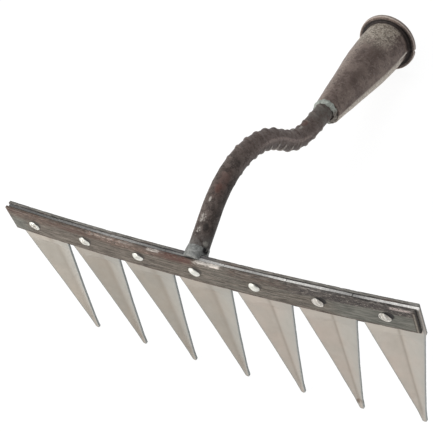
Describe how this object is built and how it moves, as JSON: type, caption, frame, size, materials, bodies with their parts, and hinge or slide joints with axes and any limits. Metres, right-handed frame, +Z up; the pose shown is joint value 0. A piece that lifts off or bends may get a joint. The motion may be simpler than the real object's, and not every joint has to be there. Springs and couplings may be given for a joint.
{
  "type": "riveted weeding rake head",
  "caption": "Weeding rake head: creased steel blades riveted in a row between two flat strips, on a bent ribbed neck with a flanged socket for a wooden handle.",
  "frame": {"origin": "centre of the socket's mouth, where a wooden handle goes in", "axes": "+X along the blade row, +Y from the blade row towards the handle end, +Z up with the blades pointing down; the head stands as it rests on a floor, on its blade tips and the flange of the socket"},
  "size_m": [0.2704, 0.2596, 0.1301],
  "materials": {
    "socket_steel": "brown-grey oxidised sheet steel, mottled and pitted near the mouth",
    "neck_rebar": "dark mill-scaled reinforcing bar with light rust",
    "clamp_strips": "mill-scaled flat bar, streaked lengthways, worn bright on its upper arrises",
    "blade_steel": "warm grey satin spring steel with ground edges",
    "rivets": "bright hammered rivet heads",
    "bar_weld": "grey weld metal, smooth with a small pit",
    "socket_weld": "rough grey-green weld bead"
  },
  "bodies": {
    "root": {"handle_socket": "socket_steel", "neck_rod": "neck_rebar", "front_strip": "clamp_strips", "rear_strip": "clamp_strips", "blade_1": "blade_steel", "blade_2": "blade_steel", "blade_3": "blade_steel", "blade_4": "blade_steel", "blade_5": "blade_steel", "blade_6": "blade_steel", "blade_7": "blade_steel", "blade_rivets": "rivets", "neck_to_bar_weld": "bar_weld", "neck_to_socket_weld": "socket_weld"}
  },
  "joints": []
}
